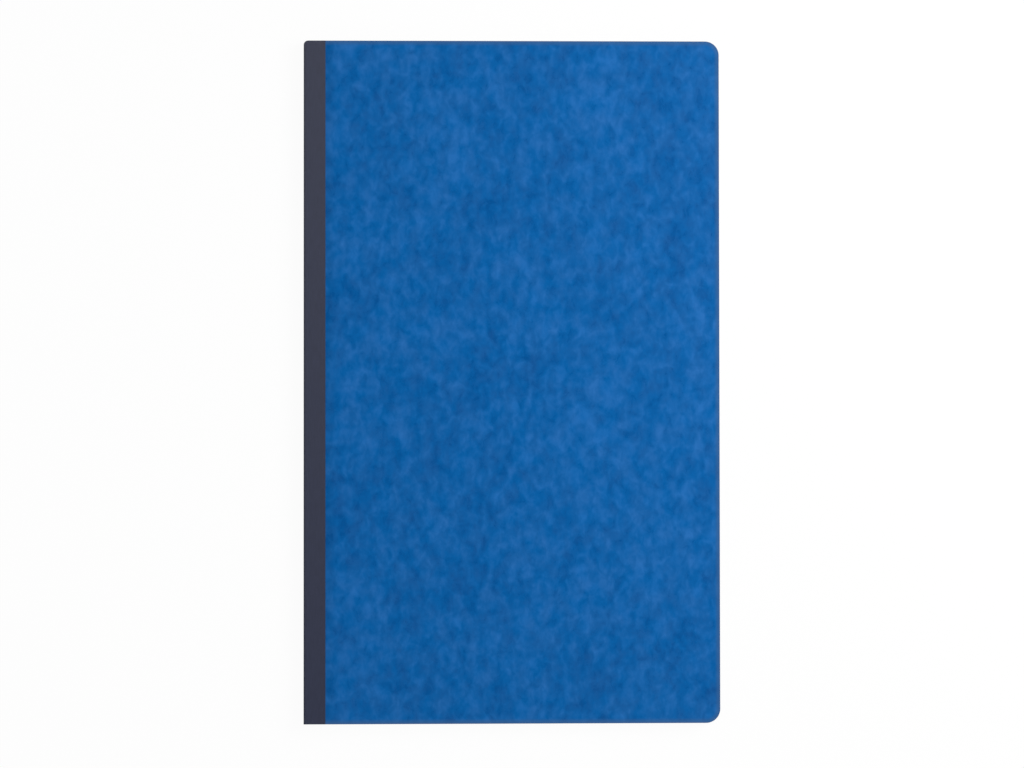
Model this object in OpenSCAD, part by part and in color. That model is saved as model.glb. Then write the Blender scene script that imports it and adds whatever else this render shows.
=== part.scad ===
// Thin ledger book, quarter bound and cut flush: two stiff covers of glazed pressboard, a cloth
// strip over the spine that laps onto both of them, and a sewn block of ledger leaves.
// The book lies on its back cover. X runs from the spine to the fore-edge, Y from the tail to
// the head, and Z up through the thickness. The origin is the middle of the underside.
// Each cover turns on the edge of the block that it meets at the spine.

/* [Book] */
// Width from the spine to the fore-edge
book_w = 195; // [150:1:240]
// Height from the tail to the head
book_h = 320; // [240:1:400]
// Radius of the two corners that are cut round at the fore-edge
fore_corner_r = 6.6; // [3:0.1:15]
// Radius of the softened corner at the head of the spine
head_corner_r = 2.2; // [0.4:0.1:3]

/* [Covers] */
// Thickness of the pressboard of each cover
board_t = 0.8; // [0.6:0.05:1.5]
// Thickness of the leaf pasted down inside each cover
pastedown_t = 0.13; // [0.1:0.01:0.25]

/* [Spine] */
// Thickness of the cloth strip
cloth_t = 0.25; // [0.15:0.01:0.35]
// Width that the cloth laps onto each cover, counted from the spine
cloth_lap = 10.2; // [6:0.2:25]
// Radius on which the cloth turns from a cover onto the spine
spine_turn_r = 0.8; // [0.5:0.05:1.2]
// Thickness of the lining glued to the backs of the sections
lining_t = 0.3; // [0.15:0.05:0.6]

/* [Pages] */
// Number of sections sewn one on another
sections = 5; // [3:1:10]
// Number of sheets folded one inside another in each section
section_sheets = 4; // [3:1:8]
// Thickness of one leaf
leaf_t = 0.13; // [0.1:0.005:0.2]
// Radius of the folded back of each section
section_back_r = 0.4; // [0.1:0.05:0.5]

/* [Sewing] */
// Thickness of the sewing thread
thread_d = 0.36; // [0.2:0.02:0.46]
// Play of the thread in the holes and folds that it runs through
thread_play = 0.02; // [0.01:0.01:0.05]
// Distance from the head and from the tail to the end stitches
end_stitch_inset = 14; // [6:1:40]

/* [Hidden] */
$fn = 64;

// A folded sheet makes two leaves
section_t = 2 * section_sheets * leaf_t;
block_t = sections * section_t;
cover_t = board_t + pastedown_t;
book_t = block_t + 2 * cover_t;

// Levels at which the block meets the covers
back_z = cover_t;
front_z = cover_t + block_t;

// The spine from the outside in: cloth, then lining, then the folded backs
spine_x = -book_w / 2;
cloth_back_x = spine_x + cloth_t;
block_x = cloth_back_x + lining_t;
fore_x = book_w / 2;

// A turn or a fold is no rounder than its board or its section lets it be
turn_r = min(spine_turn_r, board_t);
back_r = min(section_back_r, section_t / 2 - leaf_t / 2);

// The thread lies in the inmost fold of a section, and at its ends comes out to the backs
stitch_y = book_h / 2 - end_stitch_inset;
thread_fold_x = block_x + section_t / 2;
thread_back_x = block_x + thread_d / 2;

// What is taken off a square corner to leave it round. The corner is at the origin, with the
// piece towards -X and -Y.
module corner_waste(r) {
    difference() {
        translate([-r, -r]) square(2 * r);
        translate([-r, -r]) circle(r);
    }
}

// The outline of the whole book from above, after it was cut flush
module outline() {
    difference() {
        square([book_w, book_h], center = true);
        for (end = [0, 1]) mirror([0, end])
            translate([fore_x, book_h / 2]) corner_waste(fore_corner_r);
        translate([spine_x, book_h / 2]) mirror([1, 0]) corner_waste(head_corner_r);
    }
}

// Runs a profile, drawn in X and Z, along the height of the book and cuts it to the outline
module cut_to_book() {
    intersection() {
        rotate([90, 0, 0]) linear_extrude(book_h, center = true) children();
        translate([0, 0, -book_t]) linear_extrude(2 * book_t) outline();
    }
}

// Cover pieces are drawn above the level where a cover meets the block: the front cover stands
// on that level as drawn, and the back cover hangs from it as a mirror image.
module at_front() { translate([0, 0, front_z]) children(); }
module at_back() { translate([0, 0, back_z]) mirror([0, 0, 1]) children(); }

// Profile from a line beside the spine to the fore-edge, with its outer spine corner rounded
module cover_profile(back, top, turn) {
    difference() {
        translate([back, 0]) square([fore_x - back, top]);
        translate([back, top]) mirror([1, 0]) corner_waste(turn);
    }
}

// The cloth on a cover: it comes up over the board's back edge and lies on the board, nipped
// in level with its face
module lap_profile() {
    intersection() {
        difference() {
            cover_profile(spine_x, cover_t, turn_r);
            cover_profile(cloth_back_x, cover_t - cloth_t, turn_r - cloth_t);
        }
        translate([spine_x, 0]) square([cloth_lap, cover_t]);
    }
}

module pastedown_profile() {
    translate([cloth_back_x, 0]) square([fore_x - cloth_back_x, pastedown_t]);
}

module board_profile() {
    difference() {
        cover_profile(spine_x, cover_t, turn_r);
        lap_profile();
        translate([spine_x, 0]) square([book_w, pastedown_t]);
    }
}

// One section of the block, folded round at the back
module section_profile() {
    difference() {
        square([fore_x - block_x, section_t]);
        translate([0, section_t]) mirror([1, 0]) corner_waste(back_r);
        mirror([1, 0]) mirror([0, 1]) corner_waste(back_r);
    }
}

// A layer over the whole back of the block, from one cover to the other
module spine_layer(x, t) {
    cut_to_book() translate([x, back_z]) square([t, block_t]);
}

// The way of the thread: up one section's fold and down the next, and across the backs of the
// sections from each to the one above it
function section_side(i) = i % 2 == 0 ? -1 : 1;
function section_mid_z(i) = back_z + (i + 0.5) * section_t;
thread_way = [for (i = [0 : sections - 1]) for (p = [
        [thread_back_x, section_side(i) * stitch_y],
        [thread_fold_x, section_side(i) * stitch_y],
        [thread_fold_x, -section_side(i) * stitch_y],
        [thread_back_x, -section_side(i) * stitch_y]])
    [p.x, p.y, section_mid_z(i)]];

// A round rod from one point to another
module rod(from, to, d) {
    way = to - from;
    translate(from)
        rotate([0, acos(way.z / norm(way)), atan2(way.y, way.x)])
            cylinder(h = norm(way), d = d);
}

module thread_run(d) {
    for (i = [0 : len(thread_way) - 1]) translate(thread_way[i]) sphere(d = d);
    for (i = [1 : len(thread_way) - 1]) rod(thread_way[i - 1], thread_way[i], d);
}

// The notch sawn across the backs at each end stitch, through which the thread passes
module end_notch(side) {
    notch_w = thread_d + 2 * thread_play;
    translate([block_x - lining_t, side * stitch_y - notch_w / 2, section_mid_z(0) - notch_w / 2])
        cube([thread_back_x - block_x + lining_t, notch_w, block_t - section_t + notch_w]);
}

module front_board() { color([0.08, 0.37, 0.64]) at_front() cut_to_book() board_profile(); }

module front_pastedown() { color([0.95, 0.94, 0.88]) at_front() cut_to_book() pastedown_profile(); }

module front_cloth_lap() { color([0.23, 0.24, 0.30]) at_front() cut_to_book() lap_profile(); }

// The leaves of every section, held together at their folded backs
module page_block() {
    color([0.96, 0.95, 0.90]) difference() {
        cut_to_book() for (i = [0 : sections - 1])
            translate([block_x, back_z + i * section_t]) section_profile();
        thread_run(thread_d + 2 * thread_play);
        for (side = [-1, 1]) end_notch(side);
    }
}

module sewing_thread() { color([0.93, 0.91, 0.84]) thread_run(thread_d); }

module spine_lining() { color([0.80, 0.71, 0.56]) spine_layer(cloth_back_x, lining_t); }

module spine_cloth() { color([0.23, 0.24, 0.30]) spine_layer(spine_x, cloth_t); }

module back_cloth_lap() { color([0.23, 0.24, 0.30]) at_back() cut_to_book() lap_profile(); }

module back_pastedown() { color([0.95, 0.94, 0.88]) at_back() cut_to_book() pastedown_profile(); }

module back_board() { color([0.08, 0.37, 0.64]) at_back() cut_to_book() board_profile(); }

front_board();
front_pastedown();
front_cloth_lap();
page_block();
sewing_thread();
spine_lining();
spine_cloth();
back_cloth_lap();
back_pastedown();
back_board();
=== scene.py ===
"""The finished look of a thin ledger book: pressboard covers, a cloth spine strip and sewn leaves.

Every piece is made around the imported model, in metres. X runs from the spine to the fore-edge,
Y from the tail to the head and Z up, with the closed book lying on its back cover.
"""

import math
import random

import bmesh
import bpy
from bpy.props import FloatProperty, FloatVectorProperty, IntProperty, PointerProperty
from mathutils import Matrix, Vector


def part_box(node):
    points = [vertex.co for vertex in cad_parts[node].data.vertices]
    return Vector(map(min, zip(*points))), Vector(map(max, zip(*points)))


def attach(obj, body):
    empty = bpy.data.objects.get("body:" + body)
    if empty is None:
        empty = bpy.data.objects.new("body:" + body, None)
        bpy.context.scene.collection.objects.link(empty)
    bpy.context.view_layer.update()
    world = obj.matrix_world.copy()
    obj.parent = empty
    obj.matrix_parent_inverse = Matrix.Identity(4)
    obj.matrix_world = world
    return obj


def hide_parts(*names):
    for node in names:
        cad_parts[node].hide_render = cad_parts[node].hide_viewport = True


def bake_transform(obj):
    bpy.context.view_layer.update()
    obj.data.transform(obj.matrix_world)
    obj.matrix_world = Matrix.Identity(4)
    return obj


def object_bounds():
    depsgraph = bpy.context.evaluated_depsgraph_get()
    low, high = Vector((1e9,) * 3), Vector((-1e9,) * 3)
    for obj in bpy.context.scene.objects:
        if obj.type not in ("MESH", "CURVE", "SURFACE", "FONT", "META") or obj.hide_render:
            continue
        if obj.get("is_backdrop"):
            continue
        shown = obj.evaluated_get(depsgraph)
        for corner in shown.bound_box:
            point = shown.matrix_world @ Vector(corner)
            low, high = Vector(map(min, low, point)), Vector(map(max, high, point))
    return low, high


bl_info = {
    "name": "Ledger Book",
    "version": (1, 0, 0),
    "blender": (4, 5, 0),
    "location": "View3D > Sidebar > Ledger",
    "description": "Binds and finishes a thin quarter-cloth ledger book",
    "category": "Object",
}

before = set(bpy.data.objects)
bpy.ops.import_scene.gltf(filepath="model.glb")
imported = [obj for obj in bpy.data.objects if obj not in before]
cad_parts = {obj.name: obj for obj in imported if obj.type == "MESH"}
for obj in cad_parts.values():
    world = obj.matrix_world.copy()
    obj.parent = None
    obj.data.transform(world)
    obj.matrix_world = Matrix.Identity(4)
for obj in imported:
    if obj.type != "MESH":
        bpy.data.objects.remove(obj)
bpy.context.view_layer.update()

MM = 0.001
HAIR = 0.01 * MM  # the least distance that keeps two faces apart
SAME = 1e-6  # two places closer than this, in metres, are one
ALONG = 0.999  # share of a unit normal or edge that lies along an axis when it runs along it
FACING = 0.9  # the same share when it only faces about that way
LEVEL = 0.99  # and for a page, which lies level
CUT_EDGE = 0.97  # a board's face with less of its normal upright is part of the cut edge
SHARP_EDGE = math.radians(50)  # edges sharper than this are rounded
SMOOTH_EDGE = math.radians(35)  # and those blunter than this are shaded smooth
TURN_STEPS = 8  # faces round a fold or a turn
BEND_ROWS = 12  # rows of faces in a piece where it bends at a joint
JOG_SEED = 17

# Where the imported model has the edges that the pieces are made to
SPINE_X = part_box("spine_cloth")[0].x
CLOTH_BACK_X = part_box("spine_cloth")[1].x
BLOCK_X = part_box("page_block")[0].x
FORE_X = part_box("page_block")[1].x
LAP_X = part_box("front_cloth_lap")[1].x
TAIL_Y, HEAD_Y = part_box("front_board")[0].y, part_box("front_board")[1].y
BACK_Z, FRONT_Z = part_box("page_block")[0].z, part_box("page_block")[1].z
TOP_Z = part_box("front_board")[1].z
CLOTH_T = CLOTH_BACK_X - SPINE_X
PASTEDOWN_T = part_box("front_pastedown")[1].z - FRONT_Z
MIDDLE_Z = TOP_Z / 2


# The sizes and colours that can be changed

class LedgerSizes(bpy.types.PropertyGroup):
    """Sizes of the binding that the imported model's boxes don't give."""

    fore_corner_r: FloatProperty(
        name="Fore-edge corners", description="Radius of the corners cut round at the fore-edge",
        default=6.6 * MM, min=1 * MM, max=15 * MM, unit="LENGTH")
    head_corner_r: FloatProperty(
        name="Head corner", description="Radius of the softened corner at the head of the spine",
        default=2.2 * MM, min=0.4 * MM, max=3 * MM, unit="LENGTH")
    spine_turn_r: FloatProperty(
        name="Spine turn", description="Radius on which the cloth turns onto the spine",
        default=0.8 * MM, min=0.5 * MM, max=1.2 * MM, unit="LENGTH")
    rim_r: FloatProperty(
        name="Board rim", description="How far the knife has rounded the rim of a board",
        default=0.35 * MM, min=0.02 * MM, max=0.4 * MM, unit="LENGTH")
    # Painted shade: the rim band is the duller blue of the cut edge, painted along the rim as shade
    # on the rounded edge
    rim_shade_band: FloatProperty(
        name="Rim band", description="Width of the rubbed band along the rim of a board",
        default=2.4 * MM, min=0.05 * MM, max=4 * MM, unit="LENGTH")
    cloth_proud: FloatProperty(
        name="Cloth proud", description="How far the edge of the cloth stands above the board",
        default=0.05 * MM, min=0.0, max=0.2 * MM, unit="LENGTH")
    sections: IntProperty(
        name="Sections", description="Sections sewn one on another", default=5, min=1, max=10)
    section_sheets: IntProperty(
        name="Sheets", description="Sheets folded into one section", default=4, min=1, max=8)
    leaf_gap: FloatProperty(
        name="Leaf gap", description="Air between two leaves",
        default=0.012 * MM, min=0.002 * MM, max=0.04 * MM, unit="LENGTH")
    section_gap: FloatProperty(
        name="Section gap", description="Air between two sections",
        default=0.035 * MM, min=0.002 * MM, max=0.08 * MM, unit="LENGTH")
    jog: FloatProperty(
        name="Jog", description="How far a sheet may lie out of true with its neighbours",
        default=0.03 * MM, min=0.0, max=0.1 * MM, unit="LENGTH")


class LedgerColours(bpy.types.PropertyGroup):
    """Colours of the covers, the cloth and the paper."""

    board: FloatVectorProperty(
        name="Pressboard", description="Middle blue of the mottled pressboard",
        default=(0.0015, 0.110, 0.366), min=0, max=1, subtype="COLOR")
    board_dark: FloatVectorProperty(
        name="Pressboard, dark", description="Darkest blue of the mottling",
        default=(0.0002, 0.080, 0.290), min=0, max=1, subtype="COLOR")
    board_light: FloatVectorProperty(
        name="Pressboard, light", description="Lightest blue of the mottling",
        default=(0.0125, 0.143, 0.446), min=0, max=1, subtype="COLOR")
    # The cut edge's blue, also painted along the rim of the flat as shade
    board_edge: FloatVectorProperty(
        name="Pressboard, cut edge", description="Dull blue of the cut edge",
        default=(0.040, 0.112, 0.265), min=0, max=1, subtype="COLOR")
    cloth: FloatVectorProperty(
        name="Spine cloth", description="Dark slate of the spine cloth",
        default=(0.0203, 0.0246, 0.0508), min=0, max=1, subtype="COLOR")
    paper: FloatVectorProperty(
        name="Ledger paper", description="Pale cream of the leaves",
        default=(0.84, 0.81, 0.71), min=0, max=1, subtype="COLOR")
    lining: FloatVectorProperty(
        name="Spine lining", description="Brown of the lining paper",
        default=(0.50, 0.37, 0.22), min=0, max=1, subtype="COLOR")
    thread: FloatVectorProperty(
        name="Sewing thread", description="Natural linen of the thread",
        default=(0.75, 0.70, 0.56), min=0, max=1, subtype="COLOR")
    feint: FloatVectorProperty(
        name="Feint lines", description="Pale blue of the lines that are written on",
        default=(0.13, 0.38, 0.70), min=0, max=1, subtype="COLOR")
    column: FloatVectorProperty(
        name="Column lines", description="Red of the lines between columns",
        default=(0.75, 0.09, 0.10), min=0, max=1, subtype="COLOR")


class LedgerStage(bpy.types.PropertyGroup):
    """The camera above the book and the lamps round it."""

    lens: FloatProperty(name="Lens", description="Focal length", default=85, min=20, max=200)
    camera_place: FloatVectorProperty(
        name="Camera", description="Place of the camera", default=(-0.0259, -0.0186, 1.1398),
        subtype="TRANSLATION", unit="LENGTH")
    camera_turn: FloatVectorProperty(
        name="Camera turn", description="Turn of the camera away from straight down",
        default=(math.radians(0.885), math.radians(-1.311), math.radians(-0.063)),
        subtype="EULER", unit="ROTATION")
    key_power: FloatProperty(
        name="Key lamp", description="Power of the lamp beyond the fore-edge",
        default=3.05, min=0, max=50)
    fill_power: FloatProperty(
        name="Fill lamp", description="Power of the lamp beyond the spine",
        default=2.4, min=0, max=50)
    horizon: FloatProperty(
        name="Horizon", description="Strength of the studio light at the height of the book",
        default=0.15, min=0, max=1)
    walls: FloatProperty(
        name="Walls", description="Strength of the studio light from half way up", default=0.88,
        min=0, max=2)
    ceiling: FloatProperty(
        name="Ceiling", description="Share of the wall light that comes from the ceiling",
        default=0.34, min=0, max=1)


# Modelling by hand

def clear_selection():
    bpy.ops.object.select_all(action="DESELECT")


def only(piece):
    """Selects one piece and makes it active."""
    clear_selection()
    piece.select_set(True)
    bpy.context.view_layer.objects.active = piece


def add_slab(name, low, high):
    """A box between two corners, which the steps after it shape."""
    low, high = Vector(low), Vector(high)
    clear_selection()
    bpy.ops.mesh.primitive_cube_add(size=1, location=(low + high) / 2)
    slab = bpy.context.object
    slab.scale = high - low
    bpy.ops.object.transform_apply(location=True, rotation=True, scale=True)
    slab.name = slab.data.name = name
    return slab


def middle(element):
    """Middle of an edge or face."""
    return sum((v.co for v in element.verts), Vector()) / len(element.verts)


def runs_along(edge, axis):
    """Whether an edge runs along an axis: 0 for X, 1 for Y, 2 for Z."""
    way = (edge.verts[1].co - edge.verts[0].co).normalized()
    return abs(way[axis]) > ALONG


def pick(piece, kind, wanted):
    """In edit mode, selects just the vertices, edges or faces that are wanted."""
    bpy.ops.mesh.select_mode(type=kind)
    bpy.ops.mesh.select_all(action="DESELECT")
    shape = bmesh.from_edit_mesh(piece.data)
    picked = 0
    for element in {"VERT": shape.verts, "EDGE": shape.edges, "FACE": shape.faces}[kind]:
        if wanted(element):
            element.select_set(True)
            picked += 1
    bmesh.update_edit_mesh(piece.data)
    if not picked:
        raise RuntimeError(f"{piece.name}: nothing there to select")


def near(a, b):
    return abs(a - b) < SAME


def cut_across(x):
    """In edit mode, adds edges round the piece along its height, at x."""
    bpy.ops.mesh.select_all(action="SELECT")
    bpy.ops.mesh.bisect(plane_co=(x, 0, 0), plane_no=(1, 0, 0), threshold=1e-7)


def push(step):
    bpy.ops.mesh.extrude_region_move(TRANSFORM_OT_translate={"value": step})


def face_outwards():
    """In edit mode, turns every face of the piece outwards, which a spin doesn't see to."""
    bpy.ops.mesh.select_all(action="SELECT")
    bpy.ops.mesh.normals_make_consistent(inside=False)


def apply_modifier(piece, kind, **settings):
    only(piece)
    modifier = piece.modifiers.new(kind.title(), kind)
    for name, value in settings.items():
        setattr(modifier, name, value)
    bpy.ops.object.modifier_apply(modifier=modifier.name)


def soften(piece, width, segments):
    """Rounds every sharp edge of a piece a little."""
    apply_modifier(piece, "BEVEL", width=width, segments=segments, limit_method="ANGLE",
                   angle_limit=SHARP_EDGE)


def smooth(piece):
    only(piece)
    bpy.ops.object.shade_smooth_by_angle(angle=SMOOTH_EDGE)


def join(name, pieces):
    clear_selection()
    for piece in pieces:
        piece.select_set(True)
    bpy.context.view_layer.objects.active = pieces[0]
    bpy.ops.object.join()
    joined = bpy.context.object
    joined.name = joined.data.name = name
    return joined


def turned_over(piece, name):
    """A copy of a front piece for the back of the book, in a mirror at half its thickness."""
    only(piece)
    bpy.ops.object.duplicate()
    copy = bpy.context.object
    bpy.ops.object.mode_set(mode="EDIT")
    bpy.ops.mesh.select_all(action="SELECT")
    bpy.ops.transform.mirror(constraint_axis=(False, False, True),
                             center_override=(0, 0, MIDDLE_Z))
    bpy.ops.mesh.flip_normals()
    bpy.ops.object.mode_set(mode="OBJECT")
    copy.name = copy.data.name = name
    return copy


TRIM = 2 * MM  # how much each layer is left oversize until it is cut flush
HOLD = 0.1 * MM  # width of the narrow face that keeps the shading of a flat face flat
JOINT_BEND = 0.15 * MM  # how far from the block's face the cloth starts to bend
# Levels off the block's face between which the endpaper bends: the top of its guard, and the
# underside of its pasted-down leaf
GUARD_TOP, LEAF_UNDER = 0.012 * MM, 0.03 * MM


def make_guillotine(sizes):
    """The outline of the book as a tall block: what lies outside it is trimmed off."""
    back_x = SPINE_X - HAIR
    cutter = add_slab("guillotine", (back_x, TAIL_Y, -TRIM), (FORE_X, HEAD_Y, TOP_Z + TRIM))
    bpy.ops.object.mode_set(mode="EDIT")
    pick(cutter, "EDGE", lambda e: runs_along(e, 2) and middle(e).x > 0)
    bpy.ops.mesh.bevel(offset=sizes.fore_corner_r, segments=16, affect="EDGES")
    pick(cutter, "EDGE", lambda e: runs_along(e, 2) and near(middle(e).x, back_x)
         and middle(e).y > 0)
    bpy.ops.mesh.bevel(offset=sizes.head_corner_r, segments=8, affect="EDGES")
    bpy.ops.object.mode_set(mode="OBJECT")
    return cutter


def trim(piece, cutter):
    apply_modifier(piece, "BOOLEAN", operation="INTERSECT", solver="EXACT", object=cutter)


def remove(piece):
    bpy.data.meshes.remove(piece.data)


def hand_over(piece, body, slot_name, *nodes):
    """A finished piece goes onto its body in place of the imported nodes."""
    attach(piece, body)
    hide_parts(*nodes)


# Materials

def new_material(name, roughness, specular):
    """A material, its node tree and its shader."""
    material = bpy.data.materials.new(name)
    material.use_nodes = True
    tree = material.node_tree
    shader = tree.nodes["Principled BSDF"]
    shader.inputs["Roughness"].default_value = roughness
    shader.inputs["Specular IOR Level"].default_value = specular
    return material, tree, shader


def add(tree, kind, inputs, output=0, **settings):
    """Adds a node and gives its output. An input is a plain value or another node's output."""
    node = tree.nodes.new("ShaderNode" + kind)
    for name, value in settings.items():
        setattr(node, name, value)
    for name, value in inputs.items():
        if isinstance(value, bpy.types.NodeSocket):
            tree.links.new(value, node.inputs[name])
        else:
            node.inputs[name].default_value = value
    return node.outputs[output]


def math_node(tree, operation, *values):
    return add(tree, "Math", dict(enumerate(values)), operation=operation)


def object_points(tree, stretch=(1, 1, 1)):
    """The point on the piece, in metres, with the pattern drawn out along an axis."""
    place = add(tree, "TexCoord", {}, output="Object")
    return add(tree, "Mapping", {"Vector": place, "Scale": stretch})


def noise(tree, points, size, **inputs):
    """Noise whose blotches are about as wide as size."""
    return add(tree, "TexNoise", {"Vector": points, "Scale": 1 / size, **inputs})


def mapped(tree, value, source, target=(0.0, 1.0)):
    """Carries a value from one range over to another, and holds it at both ends."""
    return add(tree, "MapRange", {"Value": value, "From Min": source[0], "From Max": source[1],
                                  "To Min": target[0], "To Max": target[1]})


def along_axes(tree, points, axes):
    """The parts of a point that lie along the named axes."""
    return [add(tree, "SeparateXYZ", {"Vector": points}, output=axis) for axis in axes]


def mixed(tree, factor, a, b):
    """Mixes two values."""
    return add(tree, "Mix", {"Factor": factor, "A": a, "B": b}, output="Result")


# Places of the sockets that a Mix node uses once it mixes colours
MIX_FACTOR, MIX_A, MIX_B, MIX_RESULT = 0, 6, 7, 2


def mixed_colour(tree, factor, a, b, blend_type="MIX"):
    """Mixes two colours. A colour is three numbers or a node's output."""
    a, b = (c if isinstance(c, bpy.types.NodeSocket) else (*c, 1) for c in (a, b))
    return add(tree, "Mix", {MIX_FACTOR: factor, MIX_A: a, MIX_B: b}, output=MIX_RESULT,
               data_type="RGBA", blend_type=blend_type)


def tinted(colour, share):
    """A colour made paler or deeper."""
    return [c * share for c in colour]


def rough_up(tree, shader, height, distance):
    """Bumps the surface by a height that runs from 0 to 1 over a distance in metres."""
    bump = add(tree, "Bump", {"Height": height, "Distance": distance})
    tree.links.new(bump, shader.inputs["Normal"])


def painted_rim_shade(tree, sizes):
    """Mask of the painted rim shade: 0 on the flat of a board, rising to 1 at its cut rim."""
    x, y = along_axes(tree, add(tree, "TexCoord", {}, output="Object"), "XY")
    past_x = math_node(tree, "SUBTRACT", x, FORE_X - sizes.fore_corner_r)
    past_y = math_node(tree, "SUBTRACT", math_node(tree, "ABSOLUTE", y),
                       HEAD_Y - sizes.fore_corner_r)
    round_corner = add(tree, "VectorMath", {0: add(tree, "CombineXYZ", {
        "X": math_node(tree, "MAXIMUM", past_x, 0.0),
        "Y": math_node(tree, "MAXIMUM", past_y, 0.0)})}, output="Value", operation="LENGTH")
    straight = math_node(tree, "MINIMUM", math_node(tree, "MAXIMUM", past_x, past_y), 0.0)
    reach = math_node(tree, "ADD", round_corner, straight)
    return mapped(tree, reach, (sizes.fore_corner_r - sizes.rim_shade_band, sizes.fore_corner_r))


def pressboard(sizes, colours):
    """Glazed pressboard: soft wisps of paler and deeper blue, drawn out along the height."""
    material, tree, shader = new_material("glazed_pressboard", 0.3, specular=0.22)
    points = object_points(tree, stretch=(1, 0.72, 1))
    wisps = noise(tree, points, 4.6 * MM, Detail=3.0, Roughness=0.52, Distortion=0.35)
    flecks = noise(tree, points, 2.4 * MM, Detail=2.0, Roughness=0.5, Distortion=0.3)
    clouds = noise(tree, points, 28 * MM, Detail=2.0, Roughness=0.5)
    wisp_share, fleck_share, cloud_share = 0.58, 0.17, 0.25
    mottle = math_node(tree, "MULTIPLY", clouds, cloud_share)
    mottle = math_node(tree, "MULTIPLY_ADD", flecks, fleck_share, mottle)
    mottle = math_node(tree, "MULTIPLY_ADD", wisps, wisp_share, mottle)
    spread = mapped(tree, mottle, (0.33, 0.67))
    tone = tree.nodes.new("ShaderNodeValToRGB")
    ramp = tone.color_ramp
    ramp.elements[0].color = (*colours.board_dark, 1)
    ramp.elements[1].color = (*colours.board_light, 1)
    ramp.elements.new(0.5).color = (*colours.board, 1)
    tree.links.new(spread, tone.inputs["Fac"])
    tint = noise(tree, points, 7 * MM, Detail=2.0)
    purity = mapped(tree, tint, (0.35, 0.65), (0.985, 1.006))
    colour = add(tree, "HueSaturation", {"Saturation": purity, "Color": tone.outputs["Color"]})
    # Painted shade: the board is a little darker beside the cloth, as the cloth's edge shades it
    [x] = along_axes(tree, add(tree, "TexCoord", {}, output="Object"), "X")
    painted_cloth_shade = mapped(tree, x, (LAP_X, LAP_X + 5 * MM), (0.85, 1.0))
    colour = add(tree, "HueSaturation", {"Value": painted_cloth_shade, "Color": colour})
    # Painted shade: toward the rim the flat takes the duller blue of the cut edge, as shade on its
    # rounded edge
    colour = mixed_colour(tree, painted_rim_shade(tree, sizes), colour, colours.board_edge)
    tree.links.new(colour, shader.inputs["Base Color"])
    tree.links.new(mapped(tree, wisps, (0.3, 0.7), (0.26, 0.34)), shader.inputs["Roughness"])
    fibre = noise(tree, points, 0.5 * MM, Detail=3.0, Roughness=0.6)
    rough_up(tree, shader, math_node(tree, "MULTIPLY_ADD", wisps, 0.6, fibre), 0.02 * MM)
    return material


def pressboard_edge(colours):
    """The cut edge of pressboard: dull, in thin layers."""
    material, tree, shader = new_material("pressboard_cut_edge", 0.75, specular=0.2)
    layers = noise(tree, object_points(tree, stretch=(0.08, 0.08, 1)), 0.12 * MM, Detail=2.0)
    colour = mixed_colour(tree, layers, tinted(colours.board_edge, 0.75),
                          tinted(colours.board_edge, 1.3))
    tree.links.new(colour, shader.inputs["Base Color"])
    rough_up(tree, shader, layers, 0.03 * MM)
    return material


def bookcloth(colours):
    """Starched plain-weave cloth. Its weave follows the strip round the spine."""
    pitch = 0.34 * MM
    material, tree, shader = new_material("bookcloth", 0.72, specular=0.3)
    shader.inputs["Sheen Weight"].default_value = 0.12
    shader.inputs["Sheen Roughness"].default_value = 0.5
    uv = add(tree, "UVMap", {}, uv_map="cloth")
    u, v = along_axes(tree, uv, "XY")
    along, across = (math_node(tree, "ABSOLUTE", math_node(
        tree, "SINE", math_node(tree, "MULTIPLY", way, math.pi / pitch))) for way in (u, v))
    over = add(tree, "TexChecker", {"Vector": uv, "Scale": 1 / pitch}, output="Fac")
    weave = mixed(tree, over, along, across)
    slubs = noise(tree, add(tree, "Mapping", {"Vector": uv, "Scale": (1, 0.08, 1)}),
                  0.5 * MM, Detail=2.0)
    wear = noise(tree, uv, 9 * MM, Detail=3.0)
    yarn = math_node(tree, "MULTIPLY_ADD", weave, 0.35, math_node(tree, "MULTIPLY", slubs, 0.9))
    base = mixed_colour(tree, yarn, tinted(colours.cloth, 0.72), tinted(colours.cloth, 1.35))
    cloth_wear_and_light = mixed_colour(tree, math_node(tree, "MULTIPLY", wear, 0.25), base,
                         tinted(colours.cloth, 1.5))
    # Painted sheen: greyer toward the head, a veil of light painted into the colour; painted shade:
    # darker on the turn
    grey, most_grey = (0.4, 0.4, 0.4), 0.045
    # Painted sheen: the cloth turns greyer from the tail to the head
    painted_light = mapped(tree, v, (TAIL_Y, HEAD_Y), (0.0, most_grey))
    cloth_wear_and_light = mixed_colour(tree, painted_light, cloth_wear_and_light, grey)
    # Painted shade on the turn, where the cloth rounds away from the light
    painted_turn_shade = mapped(tree, math_node(tree, "ABSOLUTE", u), (0.4 * MM, 1.6 * MM), (0.82, 1.0))
    cloth_wear_and_light = add(tree, "HueSaturation", {"Value": painted_turn_shade, "Color": cloth_wear_and_light})
    tree.links.new(cloth_wear_and_light, shader.inputs["Base Color"])
    rough_up(tree, shader, math_node(tree, "MULTIPLY_ADD", slubs, 0.8, weave), 0.04 * MM)
    return material


def paper_surface(tree, colour):
    """Colour and height of smooth writing paper."""
    tooth = noise(tree, object_points(tree), 0.35 * MM, Detail=3.0, Roughness=0.6)
    look_through = noise(tree, object_points(tree), 5 * MM, Detail=3.0)
    pale = mixed_colour(tree, math_node(tree, "MULTIPLY", look_through, 0.5), colour,
                        tinted(colour, 0.955))
    return pale, tooth


def endpaper(colours):
    """Plain paper, a shade darker than the leaves."""
    material, tree, shader = new_material("endpaper", 0.85, specular=0.2)
    pale, tooth = paper_surface(tree, tinted(colours.paper, 0.97))
    tree.links.new(pale, shader.inputs["Base Color"])
    rough_up(tree, shader, tooth, 0.01 * MM)
    return material


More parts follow.
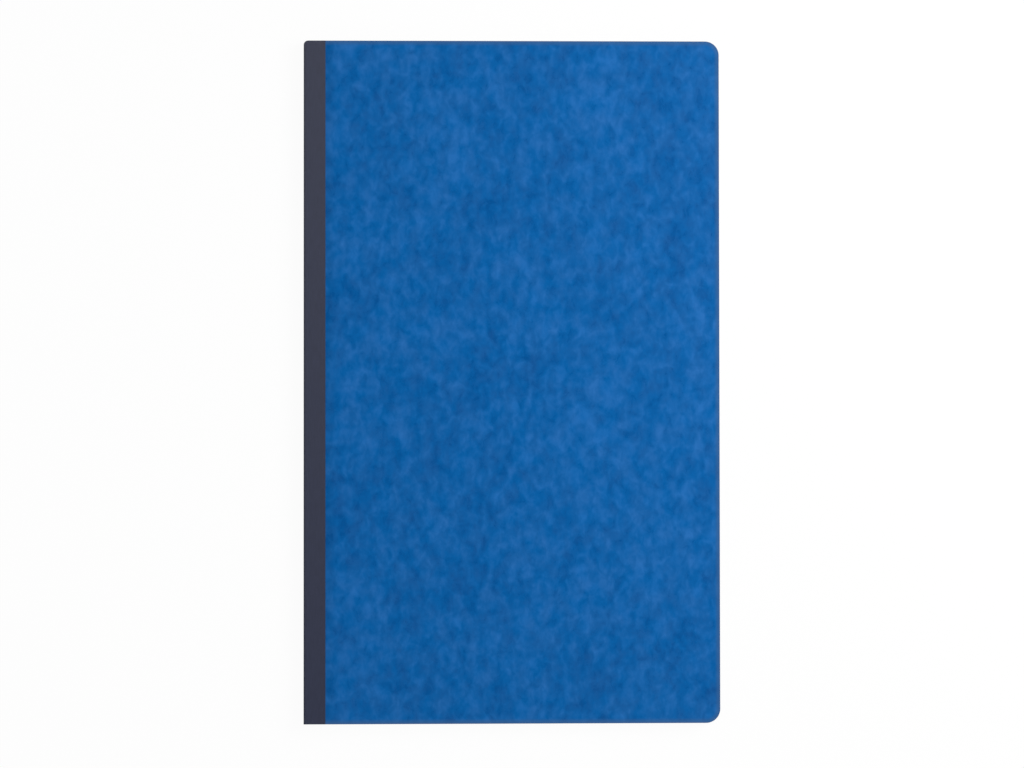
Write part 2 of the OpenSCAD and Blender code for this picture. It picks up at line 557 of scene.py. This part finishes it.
def leaf_edges(colours):
    """The cut edges and folds of the leaves, a little uneven in tone from leaf to leaf."""
    material, tree, shader = new_material("leaf_edges", 0.85, specular=0.2)
    pale, tooth = paper_surface(tree, colours.paper)
    streaks = noise(tree, object_points(tree, stretch=(0.02, 0.02, 1)), 0.2 * MM, Detail=2.0)
    edge = mapped(tree, streaks, (0.35, 0.65), (0.86, 1.0))
    colour = mixed_colour(tree, 1.0, pale, add(tree, "CombineColor", {
        "Red": edge, "Green": edge, "Blue": edge}), blend_type="MULTIPLY")
    tree.links.new(colour, shader.inputs["Base Color"])
    rough_up(tree, shader, tooth, 0.01 * MM)
    return material


def ruled_paper(colours):
    """A ledger page: feint lines to write on, head rules, and columns for date, folio and sums."""
    material, tree, shader = new_material("ruled_page", 0.85, specular=0.2)
    pale, tooth = paper_surface(tree, colours.paper)
    x, y = along_axes(tree, add(tree, "TexCoord", {}, output="Object"), "XY")
    head_rule_y, feint_pitch, foot_y = HEAD_Y - 34 * MM, 8 * MM, TAIL_Y + 14 * MM
    half_line, head_space, ink = 0.15 * MM, 12 * MM, 0.8

    def line_at(way, position):
        return math_node(tree, "COMPARE", way, position, half_line)

    def any_of(lines):
        found = lines[0]
        for line in lines[1:]:
            found = math_node(tree, "MAXIMUM", found, line)
        return found

    down = math_node(tree, "MULTIPLY", math_node(tree, "SUBTRACT", head_rule_y, y),
                     1 / feint_pitch)
    from_line = math_node(tree, "FRACT", math_node(tree, "ADD", down, 0.5))
    feint = math_node(tree, "COMPARE", from_line, 0.5, half_line / feint_pitch)
    inside = math_node(tree, "MULTIPLY", math_node(tree, "LESS_THAN", y, head_rule_y - 1 * MM),
                       math_node(tree, "GREATER_THAN", y, foot_y))
    feint = math_node(tree, "MULTIPLY", feint, inside)
    head_rules = [line_at(y, head_rule_y + lift) for lift in (0, 1.2 * MM, head_space)]
    # Columns, counted from the spine: day, entry, folio, and two sums with their smaller coins
    columns = [line_at(x, SPINE_X + offset * MM)
               for offset in (20, 21, 30, 108, 118, 119, 144, 153, 154, 179, 180)]
    below_head = math_node(tree, "LESS_THAN", y, head_rule_y + head_space)
    red = math_node(tree, "MULTIPLY", any_of(columns), below_head)
    blue = any_of([feint, *head_rules])
    inked = mixed_colour(tree, math_node(tree, "MULTIPLY", blue, ink), pale, colours.feint)
    inked = mixed_colour(tree, math_node(tree, "MULTIPLY", red, ink), inked, colours.column)
    tree.links.new(inked, shader.inputs["Base Color"])
    rough_up(tree, shader, tooth, 0.01 * MM)
    return material


def fibrous(name, colour, grain):
    """Matte stuff with a visible fibre, such as lining paper or linen thread."""
    material, tree, shader = new_material(name, 0.85, specular=0.2)
    fibres = noise(tree, object_points(tree), grain, Detail=4.0, Roughness=0.65)
    tone = mixed_colour(tree, fibres, tinted(colour, 0.8), tinted(colour, 1.15))
    tree.links.new(tone, shader.inputs["Base Color"])
    rough_up(tree, shader, fibres, grain / 4)
    return material


def paint(piece, *materials):
    piece.data.materials.clear()
    for material in materials:
        piece.data.materials.append(material)


def paint_where(piece, index, wanted):
    for face in piece.data.polygons:
        if wanted(face):
            face.material_index = index


# The pieces

def make_board(sizes, cutter):
    """The front board: oversize, with a rebate for the cloth and a rounded back edge, then cut."""
    board = add_slab("front_cover_board", (CLOTH_BACK_X, TAIL_Y - TRIM, FRONT_Z + PASTEDOWN_T),
                     (FORE_X + TRIM, HEAD_Y + TRIM, TOP_Z))
    wall = 0.02 * MM  # width over which the rebate's wall stands
    bpy.ops.object.mode_set(mode="EDIT")
    cut_across(LAP_X)
    cut_across(LAP_X + wall)
    pick(board, "VERT", lambda v: v.co.x < LAP_X + wall / 2 and near(v.co.z, TOP_Z))
    bpy.ops.transform.translate(value=(0, 0, -CLOTH_T))
    pick(board, "EDGE", lambda e: runs_along(e, 1) and near(middle(e).x, CLOTH_BACK_X)
         and middle(e).z > TOP_Z - 2 * CLOTH_T)
    bpy.ops.mesh.bevel(offset=sizes.spine_turn_r - CLOTH_T - HAIR, segments=4, affect="EDGES")
    bpy.ops.object.mode_set(mode="OBJECT")
    trim(board, cutter)
    soften(board, sizes.rim_r, segments=3)
    bpy.ops.object.mode_set(mode="EDIT")
    for side in (1, -1):
        pick(board, "FACE", lambda f: f.normal.z * side > ALONG and middle(f).x > LAP_X / 2)
        bpy.ops.mesh.inset(thickness=HOLD, depth=0)
    bpy.ops.object.mode_set(mode="OBJECT")
    smooth(board)
    return board


def make_endpaper(cutter):
    """The leaf pasted inside the front board, folded back at the spine into a narrow guard."""
    back_x, fold_t = CLOTH_BACK_X + HAIR, 0.1 * MM
    paste, guard_w = 0.001 * MM, 3.5 * MM
    guard_t = GUARD_TOP - paste
    paper = add_slab("front_endpaper", (back_x, TAIL_Y - TRIM, FRONT_Z + LEAF_UNDER),
                     (FORE_X + TRIM, HEAD_Y + TRIM, FRONT_Z + PASTEDOWN_T))
    bpy.ops.object.mode_set(mode="EDIT")
    cut_across(back_x + fold_t)
    pick(paper, "FACE", lambda f: f.normal.z < -FACING and middle(f).x < back_x + fold_t)
    for _ in range(BEND_ROWS):
        push((0, 0, (GUARD_TOP - LEAF_UNDER) / BEND_ROWS))
    push((0, 0, -guard_t))
    guard_middle_z = FRONT_Z + paste + guard_t / 2
    pick(paper, "FACE", lambda f: f.normal.x > FACING and near(middle(f).z, guard_middle_z))
    push((guard_w, 0, 0))
    bpy.ops.object.mode_set(mode="OBJECT")
    trim(paper, cutter)
    smooth(paper)
    return paper


def fold_sheet(name, low_z, high_z, leaf_t, fold_x, cutter):
    """A sheet folded once: its lower leaf, the fold at the spine and the leaf above it."""
    sheet = add_slab(name, (fold_x, TAIL_Y - TRIM, low_z),
                     (FORE_X + TRIM, HEAD_Y + TRIM, low_z + leaf_t))
    bpy.ops.object.mode_set(mode="EDIT")
    cut_across(fold_x + HOLD)
    pick(sheet, "FACE", lambda f: f.normal.x < -FACING)
    bpy.ops.mesh.spin(steps=TURN_STEPS, angle=math.pi, axis=(0, -1, 0),
                      center=(fold_x, 0, (low_z + high_z) / 2))
    push((HOLD, 0, 0))
    push((FORE_X + TRIM - fold_x - HOLD, 0, 0))
    face_outwards()
    bpy.ops.object.mode_set(mode="OBJECT")
    trim(sheet, cutter)
    return sheet


def make_block(sizes, cutter):
    """All the sections, each of nested folded sheets, jogged a little out of true."""
    dice = random.Random(JOG_SEED)
    section_t = (FRONT_Z - BACK_Z) / sizes.sections
    pitch = (section_t - sizes.section_gap) / (2 * sizes.section_sheets)
    fold_x = BLOCK_X + section_t / 2
    sheets = []
    for section in range(sizes.sections):
        floor_z = BACK_Z + section * section_t + sizes.section_gap / 2
        for nest in range(sizes.section_sheets):
            low_z = floor_z + nest * pitch + sizes.leaf_gap / 2
            high_z = floor_z + (2 * sizes.section_sheets - nest) * pitch - sizes.leaf_gap / 2
            sheet = fold_sheet(f"sheet_{section}_{nest}", low_z, high_z,
                               pitch - sizes.leaf_gap, fold_x, cutter)
            shift = (-dice.random() * sizes.jog, (dice.random() - 0.5) * sizes.jog, 0)
            only(sheet)
            bpy.ops.transform.translate(value=shift)
            bpy.ops.object.transform_apply(location=True)
            sheets.append(sheet)
    block = join("leaves", sheets)
    smooth(block)
    return block


def make_cloth(sizes, cutter):
    """The front half of the strip: the lap, the turn and the spine down to the middle."""
    turn_r = sizes.spine_turn_r
    lap = add_slab("front_spine_cloth", (SPINE_X + turn_r, TAIL_Y - TRIM, TOP_Z - CLOTH_T),
                   (LAP_X, HEAD_Y + TRIM, TOP_Z))
    bpy.ops.object.mode_set(mode="EDIT")
    cut_across(SPINE_X + turn_r + HOLD)
    pick(lap, "FACE", lambda f: f.normal.x < -FACING)
    bpy.ops.mesh.spin(steps=TURN_STEPS, angle=math.pi / 2, axis=(0, 1, 0),
                      center=(SPINE_X + turn_r, 0, TOP_Z - turn_r))
    push((0, 0, FRONT_Z - TOP_Z + turn_r))
    for _ in range(BEND_ROWS):
        push((0, 0, -JOINT_BEND / BEND_ROWS))
    push((0, 0, MIDDLE_Z - FRONT_Z + JOINT_BEND))
    pick(lap, "VERT", lambda v: near(v.co.z, TOP_Z) and v.co.x > LAP_X - HOLD)
    bpy.ops.transform.translate(value=(0, 0, sizes.cloth_proud))
    face_outwards()
    bpy.ops.object.mode_set(mode="OBJECT")
    trim(lap, cutter)
    return lap


def lay_weave(cloth, edge_z):
    """Lays the cloth out flat: across the strip from its turn, and along its height."""
    flat = cloth.data.uv_layers.new(name="cloth")
    for loop in cloth.data.loops:
        place = cloth.data.vertices[loop.vertex_index].co
        flat.data[loop.index].uv = (place.x - SPINE_X - abs(edge_z - place.z), place.y)


def bend_at_joint(piece):
    """Bakes the place of a piece that crosses a cover's joint into its mesh."""
    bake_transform(piece)


# Operators

class LEDGER_OT_boards(bpy.types.Operator):
    """Cut the two boards of glazed pressboard"""

    bl_idname = "ledger.boards"
    bl_label = "Boards"

    def execute(self, context):
        sizes, colours = context.scene.ledger_sizes, context.scene.ledger_colours
        cutter = make_guillotine(sizes)
        front = make_board(sizes, cutter)
        remove(cutter)
        paint(front, pressboard(sizes, colours), pressboard_edge(colours))
        paint_where(front, 1, lambda f: abs(f.normal.z) < CUT_EDGE)
        back = turned_over(front, "back_cover_board")
        hand_over(front, "front_cover", "pressboard", "front_board")
        hand_over(back, "back_cover", "pressboard", "back_board")
        return {"FINISHED"}


class LEDGER_OT_endpapers(bpy.types.Operator):
    """Paste down the leaf inside each cover"""

    bl_idname = "ledger.endpapers"
    bl_label = "Endpapers"

    def execute(self, context):
        sizes, colours = context.scene.ledger_sizes, context.scene.ledger_colours
        cutter = make_guillotine(sizes)
        front = make_endpaper(cutter)
        remove(cutter)
        paint(front, endpaper(colours))
        back = turned_over(front, "back_endpaper")
        for side, paper in (("front", front), ("back", back)):
            bend_at_joint(paper)
            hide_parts(f"{side}_pastedown")
        return {"FINISHED"}


class LEDGER_OT_leaves(bpy.types.Operator):
    """Fold, gather and trim the leaves"""

    bl_idname = "ledger.leaves"
    bl_label = "Leaves"

    def execute(self, context):
        sizes, colours = context.scene.ledger_sizes, context.scene.ledger_colours
        cutter = make_guillotine(sizes)
        block = make_block(sizes, cutter)
        remove(cutter)
        paint(block, leaf_edges(colours), ruled_paper(colours))
        heights = [v.co.z for v in block.data.vertices]
        low_z, high_z = min(heights), max(heights)
        paint_where(block, 1, lambda f: abs(f.normal.z) > LEVEL and (
            near(f.center.z, low_z) or near(f.center.z, high_z)))
        hand_over(block, "book_block", "ledger_paper", "page_block")
        return {"FINISHED"}


class LEDGER_OT_cloth(bpy.types.Operator):
    """Cover the spine with its strip of cloth, in two halves that meet at mid thickness"""

    bl_idname = "ledger.cloth"
    bl_label = "Spine Cloth"

    def execute(self, context):
        sizes, colours = context.scene.ledger_sizes, context.scene.ledger_colours
        cutter = make_guillotine(sizes)
        front = make_cloth(sizes, cutter)
        remove(cutter)
        smooth(front)
        paint(front, bookcloth(colours))
        lay_weave(front, TOP_Z)
        back = turned_over(front, "back_spine_cloth")
        # The turn is an arc, shorter than the square corner that the other two lengths make
        for side, cloth in (("front", front), ("back", back)):
            bend_at_joint(cloth)
            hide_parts(f"{side}_cloth_lap", "spine_cloth")
        return {"FINISHED"}


class LEDGER_OT_inner_nodes(bpy.types.Operator):
    """Finish the lining and the thread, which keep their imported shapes"""

    bl_idname = "ledger.inner_nodes"
    bl_label = "Lining and Thread"

    def execute(self, context):
        colours = context.scene.ledger_colours
        paint(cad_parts["spine_lining"], fibrous("lining_paper", colours.lining, 0.6 * MM))
        paint(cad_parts["sewing_thread"], fibrous("linen_thread", colours.thread, 0.15 * MM))
        return {"FINISHED"}


def seen_as_background(tree):
    """1 for the rays that show the background: straight, mirrored or through glass."""
    rays = tree.nodes.new("ShaderNodeLightPath").outputs
    mirrored = math_node(tree, "MAXIMUM", rays["Is Glossy Ray"], rays["Is Transmission Ray"])
    return math_node(tree, "MAXIMUM", rays["Is Camera Ray"], mirrored)


FLOOR_SIZE = 8
FLOOR_WHITE = 0.94  # how much of the floor is plain white to the eye; the rest takes the shadow
KEY_PLACE, KEY_SIZE = (0.5, 0.2, 0.46), 0.35
FILL_PLACE, FILL_SIZE = (-1.2, -0.5, 0.9), 1.2


def make_floor():
    """A wide white floor just under the book, which keeps a little of its shadow."""
    clear_selection()
    bpy.ops.mesh.primitive_plane_add(size=FLOOR_SIZE, location=(0, 0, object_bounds()[0].z - HAIR))
    floor = bpy.context.object
    floor.name = "studio_floor"
    material, tree, shader = new_material("white_floor", 0.9, specular=0.0)
    shader.inputs["Base Color"].default_value = (0.9, 0.9, 0.9, 1)
    white = add(tree, "Emission", {"Color": (1, 1, 1, 1), "Strength": 1.0})
    fade = math_node(tree, "MULTIPLY", seen_as_background(tree), FLOOR_WHITE)
    surface = add(tree, "MixShader", {0: fade, 1: shader.outputs["BSDF"], 2: white})
    tree.links.new(surface, tree.nodes["Material Output"].inputs["Surface"])
    floor.data.materials.append(material)
    floor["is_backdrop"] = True


def make_world(stage):
    """White all round for the eye; for the light, a bright band half way up, and a dim
    ceiling with a dark hatch over the book, where the camera looks through."""
    world = bpy.data.worlds.new("studio")
    bpy.context.scene.world = world
    world.use_nodes = True
    tree = world.node_tree
    tree.nodes.clear()
    way = add(tree, "TexCoord", {}, output="Generated")
    up, right = along_axes(tree, way, "ZX")
    walls = mapped(tree, up, (0.1, 0.55), (stage.horizon, stage.walls))
    ceiling = mapped(tree, up, (0.74, 0.91), (1.0, stage.ceiling))
    hatch = mapped(tree, up, (0.955, 0.995), (1.0, 0.0))
    window = mapped(tree, right, (-1.0, 1.0), (0.75, 1.25))
    glow = window
    for share in (walls, ceiling, hatch):
        glow = math_node(tree, "MULTIPLY", glow, share)
    rays = tree.nodes.new("ShaderNodeLightPath").outputs
    strength = mixed(tree, rays["Is Camera Ray"], glow, 1.0)
    light = add(tree, "Background", {"Color": (1, 1, 1, 1), "Strength": strength})
    output = tree.nodes.new("ShaderNodeOutputWorld")
    tree.links.new(light, output.inputs["Surface"])


def add_lamp(name, place, size, power):
    """A soft square lamp that shines at the book."""
    clear_selection()
    bpy.ops.object.light_add(type="AREA", location=place)
    lamp = bpy.context.object
    lamp.name = name
    lamp.data.size = size
    lamp.data.energy = power
    lamp.rotation_euler = (-Vector(place)).to_track_quat("-Z", "Y").to_euler()


class LEDGER_OT_stage(bpy.types.Operator):
    """Set up the floor, the studio light and the camera"""

    bl_idname = "ledger.stage"
    bl_label = "Stage"

    def execute(self, context):
        stage = context.scene.ledger_stage
        make_floor()
        make_world(stage)
        add_lamp("key_lamp", KEY_PLACE, KEY_SIZE, stage.key_power)
        add_lamp("fill_lamp", FILL_PLACE, FILL_SIZE, stage.fill_power)
        bpy.ops.object.camera_add(location=stage.camera_place, rotation=stage.camera_turn)
        camera = bpy.context.object
        camera.data.lens = stage.lens
        camera.data.sensor_width = 36
        context.scene.camera = camera
        context.scene.view_settings.view_transform = "Standard"
        return {"FINISHED"}


class LEDGER_PT_panel(bpy.types.Panel):
    """The steps of binding the ledger, in order"""

    bl_idname = "LEDGER_PT_panel"
    bl_label = "Ledger Book"
    bl_space_type = "VIEW_3D"
    bl_region_type = "UI"
    bl_category = "Ledger"

    def draw(self, context):
        for step in STEPS:
            self.layout.operator(step.bl_idname)
        for group in (context.scene.ledger_sizes, context.scene.ledger_colours,
                      context.scene.ledger_stage):
            box = self.layout.box()
            for name in group.__annotations__:
                box.prop(group, name)


GROUPS = {"ledger_sizes": LedgerSizes, "ledger_colours": LedgerColours, "ledger_stage": LedgerStage}
STEPS = (LEDGER_OT_boards, LEDGER_OT_endpapers, LEDGER_OT_leaves, LEDGER_OT_cloth,
         LEDGER_OT_inner_nodes, LEDGER_OT_stage)


def register():
    for cls in (*GROUPS.values(), *STEPS, LEDGER_PT_panel):
        bpy.utils.register_class(cls)
    for name, group in GROUPS.items():
        setattr(bpy.types.Scene, name, PointerProperty(type=group))


def unregister():
    for name in GROUPS:
        delattr(bpy.types.Scene, name)
    for cls in reversed((*GROUPS.values(), *STEPS, LEDGER_PT_panel)):
        bpy.utils.unregister_class(cls)


def main():
    """Binds the book and sets the stage."""
    register()
    bpy.ops.ledger.boards()
    bpy.ops.ledger.endpapers()
    bpy.ops.ledger.leaves()
    bpy.ops.ledger.cloth()
    bpy.ops.ledger.inner_nodes()
    bpy.ops.ledger.stage()


if __name__ == "__main__":
    main()
